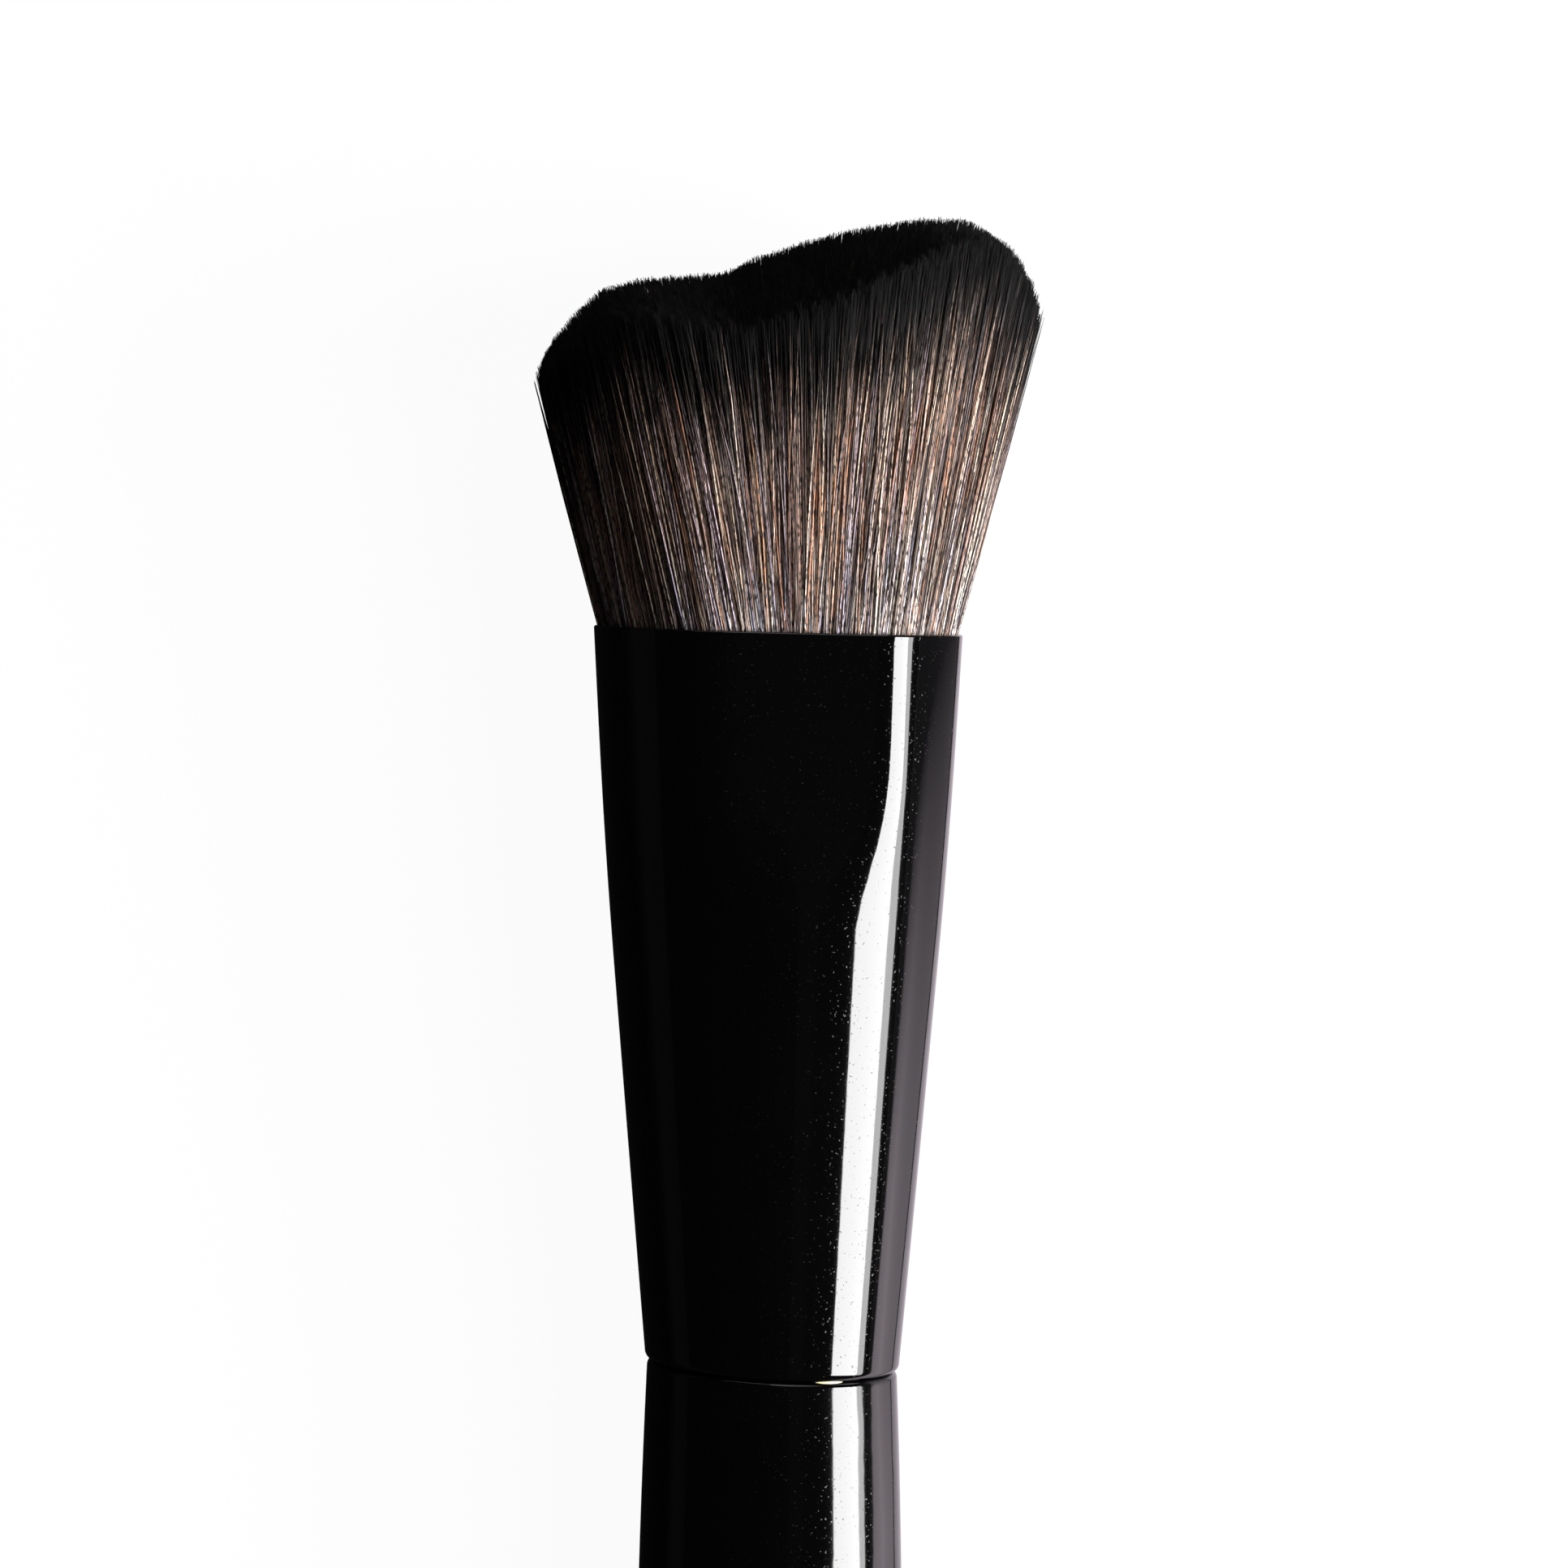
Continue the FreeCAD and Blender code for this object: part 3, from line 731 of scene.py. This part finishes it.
def black_gloss(name, peel, roughness):
    """Black gloss whose surface swings a little, with specks of dust on it."""
    made, shader, place = material(name, IOR=1.5, Specular_IOR_Level=0.5)
    swing = place.noise(260.0, 2.0)
    dust = place.noise(6500.0, 1.0).smooth(0.69, 0.76)
    cloud = place.noise(90.0, 3.0)
    base = (cloud * 0.15 + dust * 0.6).clamp().between(DEEP_BLACK, DUSTY_BLACK)
    height = swing * peel + dust * 0.15
    bump = place.node("ShaderNodeBump", {"Height": height, "Strength": 0.2, "Distance": 0.0001})
    link(shader, Base_Color=base, Roughness=cloud * 0.03 + dust * 0.3 + roughness, Normal=bump)
    return made


wear(ferrule, black_gloss("ferrule_gloss", peel=0.5, roughness=0.04))
wear(handle, black_gloss("handle_lacquer", peel=1.6, roughness=0.06))
print("black gloss made")

# %% [markdown]
# ## Adhesive
#
# The set glue is a smooth amber, paler in places. A noise between two ambers gives that without
# any glass, which would be slow to render for so small a piece.

# %% Amber for the adhesive
AMBER, PALE_AMBER = (0.74, 0.62, 0.3, 1), (0.86, 0.8, 0.55, 1)
adhesive, shader, place = material("adhesive", Roughness=0.28)
link(shader, Base_Color=place.noise(900.0, 2.0).smooth(0.3, 0.7).between(AMBER, PALE_AMBER))
wear(glue_thread, adhesive)
wear(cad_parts["glue_plug"], adhesive)
print("adhesive made")

# %% [markdown]
# ## Hair
#
# The colour of each hair comes with its mesh. It is warmest half way up. Towards the tip it turns
# black, earlier on some hairs than on others. The darker places along a hair are partly the hair's
# own mottle and partly painted shade between the hairs. Blender has a shader of its own for hair,
# but only a plain one can be baked when the brush is exported.

# %% The material of the hair
WARM_TINT = (1.0, 0.83, 0.72, 1)
DARK_BROWN = (0.05, 0.034, 0.03, 1)
BLACK_DYE = (0.0035, 0.003, 0.003, 1)
hair, shader, place = material("hair", Specular_IOR_Level=0.38, IOR=1.5)
own = place.node("ShaderNodeAttribute", {}, output=0, attribute_name="hair_colour")
left = place.node("ShaderNodeAttribute", {}, output=2, attribute_name="to_tip")
patch = place.noise(420.0, 2.0)
# Darker places along a hair: partly the hair's own mottle, partly painted shade between hairs
mottle_and_shade = place.stretched((9000.0, 2200.0, 9000.0)).noise(1.0, 1.0)
dyed = 1.0 - (left + patch * 5.0 - 2.5).smooth(2.5, 10.5)
warm = 1.0 - left.smooth(12.0, 19.0)
body = mottle_and_shade.smooth(0.47, 0.66).between(warm.between(own, WARM_TINT, blend="MULTIPLY"), DARK_BROWN)
dull = (1.0 - left.smooth(0.5, 9.0)) * 0.6 + 0.38
link(shader, Base_Color=dyed.between(body, BLACK_DYE), Roughness=dull)
for piece in head + [strays, fuzz]:
    wear(piece, hair)
print("hair made, for", len(head) + 2, "pieces")

# %% The materials of the curls and of the dark inside, which is painted shade
pale_hair, shader, place = material("pale_hair", Base_Color=(0.45, 0.42, 0.42, 1), Roughness=0.5)
for curl in curls:
    wear(curl, pale_hair)

# Painted shade: the inside of the head is nearly black, with faint streaks of shaded hair
CORE_SHADE, CORE_SHADE_STREAK = (0.002, 0.0018, 0.0018, 1), (0.02, 0.013, 0.010, 1)
painted_shade_core_look, shader, place = material("painted_shade_core", Specular_IOR_Level=0.2)
streak = place.stretched((3000.0, 160.0, 3000.0)).noise(1.0, 2.0)
link(shader, Base_Color=streak.smooth(0.35, 0.7).between(CORE_SHADE, CORE_SHADE_STREAK), Roughness=streak * 0.3 + 0.55)
wear(painted_shade_core, painted_shade_core_look)
print("pale hair and depth made")

# %% [markdown]
# ## Camera
#
# The photograph was taken almost straight at the front, from level with the hair's lower half. The
# brush leans a little to the right in the picture. It shows 20.9 pixels for each millimetre. The
# camera is built from the brush's own axis, so that it follows where the brush lies.

# %% Place the camera
LEVEL, AIM = 49.2, 34.7
SIDE = math.radians(8.0)
DISTANCE = 320.0
FOCAL = 125.7
LEAN = math.radians(0.5)

front = np.array((-math.sin(SIDE), -math.cos(SIDE), 0.0)) * DISTANCE
eye, aim = Vector(laid(front + (0, 0, LEVEL))), Vector(laid((0, 0, AIM)))
axis = (Vector(laid((0, 0, 1))) - Vector(laid((0, 0, 0)))).normalized()
view = (aim - eye).normalized()
right = view.cross(axis).normalized()
up = right.cross(view)
right, up = right * math.cos(LEAN) + up * math.sin(LEAN), up * math.cos(LEAN) - right * math.sin(LEAN)
camera = bpy.data.objects.new("camera", bpy.data.cameras.new("camera"))
bpy.context.scene.collection.objects.link(camera)
camera.matrix_world = Matrix.Translation(eye) @ Matrix((right, up, -view)).transposed().to_4x4()
camera.data.sensor_fit = "HORIZONTAL"
camera.data.sensor_width = 36.0
camera.data.lens = FOCAL
camera.data.clip_start = 0.01
camera.data.clip_end = 50.0
bpy.context.scene.camera = camera
print("camera at", tuple(round(value, 4) for value in eye))

# %% [markdown]
# ## Light
#
# One softbox stands low on the right, with a dimmer lower edge. In the black gloss it is the tall
# white band, with a dark gap and then the pale floor beside it. Two fills light the hair and leave
# no mark in the gloss, and a third gives the black tips their sheen. A real lamp always shows in
# the gloss, but here a lamp can be left out of reflections.

# %% Set up the softbox and the fills
def lamp(name, toward, distance, width, height, radiance):
    """A softbox that faces the brush from a direction, at a distance in metres."""
    light = bpy.data.lights.new(name, "AREA")
    light.shape = "RECTANGLE"
    light.size, light.size_y = width, height
    light.energy = radiance * width * height * math.pi
    made = bpy.data.objects.new(name, light)
    bpy.context.scene.collection.objects.link(made)
    toward = Vector(toward).normalized()
    made.location = Vector(rim_centre) + toward * distance
    made.rotation_euler = (-toward).to_track_quat("-Z", "Y").to_euler()
    return made


def direction(from_zenith, azimuth):
    """A direction from its angle to the zenith and its angle round from +X, in degrees."""
    tip, turn = math.radians(from_zenith), math.radians(azimuth)
    return math.sin(tip) * math.cos(turn), math.sin(tip) * math.sin(turn), math.cos(tip)


lamp("softbox", direction(63.7, -9), distance=0.5, width=0.36, height=0.236, radiance=21.5)
lamp("softbox_edge", direction(80.3, -9), distance=0.5, width=0.36, height=0.058, radiance=9.0)
lamp("fill_from_hair", direction(50, 70), distance=1.2, width=0.8, height=0.8, radiance=1.2)
fills = [
    lamp("fill_from_handle", direction(50, -70), distance=1.2, width=0.8, height=0.8, radiance=0.3),
    lamp("fill_from_front", direction(34, -14), distance=1.0, width=0.5, height=0.5, radiance=8.0),
]
for fill in fills:
    fill.visible_glossy = False
print("lights:", [item.name for item in bpy.data.lights])

# %% [markdown]
# ## The black sheet
# A black sheet is bent over the brush, lies on the floor on both sides and closes the end at the
# handle. Only reflections see it, so it is a painted reflection: it keeps the gloss black, as such
# sheets do in a studio. It glows by its place: faintly overhead, as a painted sheen on the gloss,
# and more on the floor, as the painted reflection of the lit floor: the grey band beside the
# highlight and the light line at the gloss's right edge. Small grey cards would do that in a
# studio, and here one formula stands for them all.

# %% Bend the black sheet
# The sheet is seen only in reflections: its black is a painted dark reflection in the gloss
SHEET, SHEET_HALF, SHEET_FOOT = 0.9, 1.5, -1.4
SHEET_LIFT, SHEET_TOP = 0.0006, 0.95
arch = [(SHEET * math.cos(a), SHEET * math.sin(a) + 0.002) for a in np.linspace(math.pi, 0.0, 48)]
sheet_profile = [(x, SHEET_LIFT) for x in (SHEET, 0.25, 0.12, 0.06, 0.0, -0.06, -0.3, -SHEET)] + arch
sheet_points = [(x, y, z) for x, z in sheet_profile for y in (-SHEET_HALF, SHEET_HALF)]
sheet_quads = [(2 * i, 2 * i + 1, 2 * i + 3, 2 * i + 2) for i in range(len(sheet_profile) - 1)]
sheet_quads.append(tuple(range(len(sheet_points), len(sheet_points) + 4)))
end_corners = ((-SHEET, SHEET_LIFT), (SHEET, SHEET_LIFT), (SHEET, SHEET_TOP), (-SHEET, SHEET_TOP))
sheet_points += [(x, SHEET_FOOT, z) for x, z in end_corners]
painted_reflection_sheet = quad_mesh("painted_reflection_sheet", sheet_points, sheet_quads)
painted_reflection_sheet.visible_camera = False
painted_reflection_sheet.visible_diffuse = False
painted_reflection_sheet.visible_shadow = False
painted_reflection_sheet.visible_transmission = False
print("faces of the sheet:", len(painted_reflection_sheet.data.polygons))

# %% Let the sheet glow, as painted reflections
OVERHEAD, OVERHEAD_BAND = 0.015, 0.015
LEFT_FLOOR_REFLECTION, LEFT_FLOOR_REFLECTION_FAR = 0.006, 0.03
RIGHT_FLOOR_REFLECTION, RIGHT_EDGE_REFLECTION = 0.07, 0.8
SHEET_BLACK, NO_GLOW, FULL_GLOW = (0.002, 0.002, 0.002, 1), (0.0, 0.0, 0.0, 1), (2.1, 1.86, 2.06, 1)
painted_reflection_look, shader, place = material(
    "painted_reflection_sheet", Base_Color=SHEET_BLACK, Roughness=1.0, Specular_IOR_Level=0.0, Emission_Strength=1.0)
x, y, z = (place.node("ShaderNodeSeparateXYZ", {"Vector": place}, output=part) for part in range(3))
# Painted reflections: a faint sheen overhead, and on the floor the grey band beside the highlight and the
# light line at the gloss's right edge
overhead = OVERHEAD + x.smooth(0.105, 0.125) * (1.0 - x.smooth(0.27, 0.36)) * OVERHEAD_BAND
left_floor_reflection = LEFT_FLOOR_REFLECTION + (0.0 - x).smooth(0.03, 0.06) * LEFT_FLOOR_REFLECTION_FAR
nearness = ((x - 0.008) * 1000.0).clamp(0.0, 52.0)
toward_handle = (0.068 - x * 0.23 - y).clamp(0.0, 0.055) * y.smooth(-0.06, -0.03)
right_floor_reflection = nearness * toward_handle * (1.0 - x.smooth(0.11, 0.19)) + RIGHT_FLOOR_REFLECTION
right_floor_reflection = right_floor_reflection * x.smooth(0.0192, 0.0205) + (1.0 - x.smooth(0.0182, 0.0192)) * RIGHT_EDGE_REFLECTION
on_right = x.smooth(-0.004, 0.004)
ground = left_floor_reflection * (1.0 - on_right) + right_floor_reflection * on_right
above_floor = z.smooth(0.0007, 0.0012)
glow = overhead * above_floor + ground * (1.0 - above_floor)
link(shader, Emission_Color=(glow * 0.5).clamp().between(NO_GLOW, FULL_GLOW))
wear(painted_reflection_sheet, painted_reflection_look)
print("sheet glows")

# %% [markdown]
# ## Floor and surroundings
#
# The floor is white, and so is what lies behind it. For the camera and for reflections, most of the
# floor's white doesn't depend on the lamps, so that the picture's background is even. The rest
# does, and keeps the soft shadow of the brush. More light would whiten the floor as well, but it
# would bleach the hair.

# %% Lay the floor and set the world
FLOOR_HALF = 20
OWN_WHITE = 0.955
WHITE = (1, 1, 1, 1)


def seen_directly(wire):
    """1 for rays from the camera, from a reflection or through glass."""
    paths = wire.tree.nodes.new("ShaderNodeLightPath")
    kinds = ("Is Camera Ray", "Is Glossy Ray", "Is Transmission Ray")
    straight, reflected, passed = (Wire(wire.tree, paths.outputs[kind]) for kind in kinds)
    return (straight + reflected + passed).clamp()


corners = [(x * FLOOR_HALF, y * FLOOR_HALF, 0) for x, y in ((-1, -1), (1, -1), (1, 1), (-1, 1))]
floor = quad_mesh("floor", corners, [(0, 1, 2, 3)])
floor_look, shader, place = material("floor", Roughness=0.9, Specular_IOR_Level=0.0)
link(shader, Base_Color=seen_directly(place).between((0.35, 0.35, 0.35, 1), (0.9, 0.9, 0.9, 1)))
white = place.tree.nodes.new("ShaderNodeEmission")
mixed = place.node("ShaderNodeMixShader", {
    0: seen_directly(place) * OWN_WHITE,
    1: Wire(place.tree, shader.outputs[0]),
    2: Wire(place.tree, white.outputs[0])})
place.tree.links.new(mixed.socket, place.tree.nodes["Material Output"].inputs["Surface"])
wear(floor, floor_look)

world = bpy.data.worlds.new("studio")
world.use_nodes = True
bpy.context.scene.world = world
background = world.node_tree.nodes["Background"]
start = Wire(world.node_tree, background.outputs[0])
shade = seen_directly(start).between((0.03, 0.03, 0.03, 1), WHITE)
world.node_tree.links.new(shade.socket, background.inputs["Color"])
background.inputs["Strength"].default_value = 1.0
bpy.context.scene.view_settings.view_transform = "Standard"
print("floor and world made")
